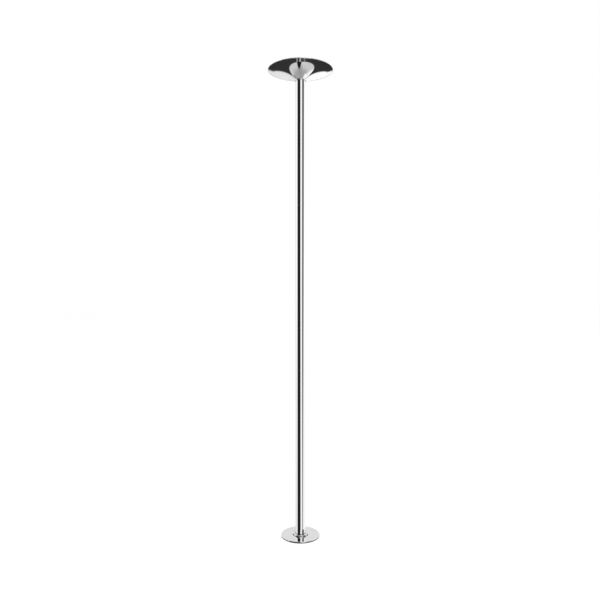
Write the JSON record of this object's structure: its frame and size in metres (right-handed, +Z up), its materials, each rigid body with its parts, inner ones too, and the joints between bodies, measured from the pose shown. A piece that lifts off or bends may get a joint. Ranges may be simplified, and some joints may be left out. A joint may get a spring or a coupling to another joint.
{
  "type": "floor-to-ceiling dance pole",
  "caption": "Chrome tube jacked between floor and ceiling, on a flat round base plate, with a flared dome at the top; it spins on bearings or locks.",
  "frame": {"origin": "on the floor, under the middle of the base plate", "axes": "+Z up along the pole; -Y is the front; the spin lock screws and the joiner key holes are at the back, +Y"},
  "size_m": [0.31, 0.31, 2.235],
  "materials": {
    "chrome": "mirror polished chrome plate",
    "nut_chrome": "chrome plate, fine turned marks",
    "rubber": "matt black rubber",
    "machined_steel": "bright zinc plated, turned",
    "screw_steel": "blackened steel",
    "bearing_steel": "ground steel",
    "spring_steel": "phosphated spring steel",
    "brass": "pressed brass",
    "housing_aluminium": "turned aluminium",
    "plate_aluminium": "mill finish sheet",
    "black_plastic": "black nylon"
  },
  "bodies": {
    "base": {"base_mat": "rubber", "base_plate": "chrome", "base_screws": "screw_steel", "jack_spindle": "machined_steel", "spindle_stop_washer": "machined_steel", "spindle_stop_screw": "screw_steel"},
    "nut": {"jack_nut": "nut_chrome", "lower_bearing_inner_rings": "bearing_steel", "lower_bearing_balls": "bearing_steel", "lower_bearing_cages": "brass", "lower_circlip": "spring_steel"},
    "pole": {"dust_seal": "rubber", "lower_bearing_housing": "housing_aluminium", "lower_bearing_outer_rings": "bearing_steel", "lower_tube": "chrome", "middle_tube": "chrome", "upper_tube": "chrome", "lower_joiner_shells": "housing_aluminium", "lower_joiner_bolts": "screw_steel", "upper_joiner_shells": "housing_aluminium", "upper_joiner_bolts": "screw_steel", "upper_bearing_housing": "housing_aluminium", "upper_bearing_outer_ring": "bearing_steel"},
    "left_lock": {"left_lock_screw": "screw_steel"},
    "right_lock": {"right_lock_screw": "screw_steel"},
    "dome": {"dome_shell": "chrome", "neck_ring": "black_plastic", "ceiling_plate": "plate_aluminium", "ceiling_gasket": "rubber", "dome_post": "housing_aluminium", "post_screws": "screw_steel", "upper_bearing_inner_ring": "bearing_steel", "upper_bearing_balls": "bearing_steel", "upper_bearing_cage": "brass", "upper_circlip": "spring_steel"}
  },
  "joints": [
    {"name": "jack_lift", "type": "slide", "parent": "base", "child": "dome", "axis": [0, 0, 1], "range_m": [0, 0.12]},
    {"name": "nut_turn", "type": "hinge", "parent": "dome", "child": "nut", "pos_m": [0, 0, 0.0118], "axis": [0, 0, 1], "range_deg": [0, 10800]},
    {"name": "pole_spin", "type": "hinge", "parent": "dome", "child": "pole", "pos_m": [0, 0, 1.1], "axis": [0, 0, 1], "continuous": true},
    {"name": "left_lock", "type": "slide", "parent": "pole", "child": "left_lock", "axis": [0.866, -0.5, 0], "range_m": [0, 0.003]},
    {"name": "right_lock", "type": "slide", "parent": "pole", "child": "right_lock", "axis": [-0.866, -0.5, 0], "range_m": [0, 0.003]}
  ],
  "couplings": [
    {"joint": "nut_turn", "follows": "jack_lift", "rad_per_m": 1570.8}
  ]
}
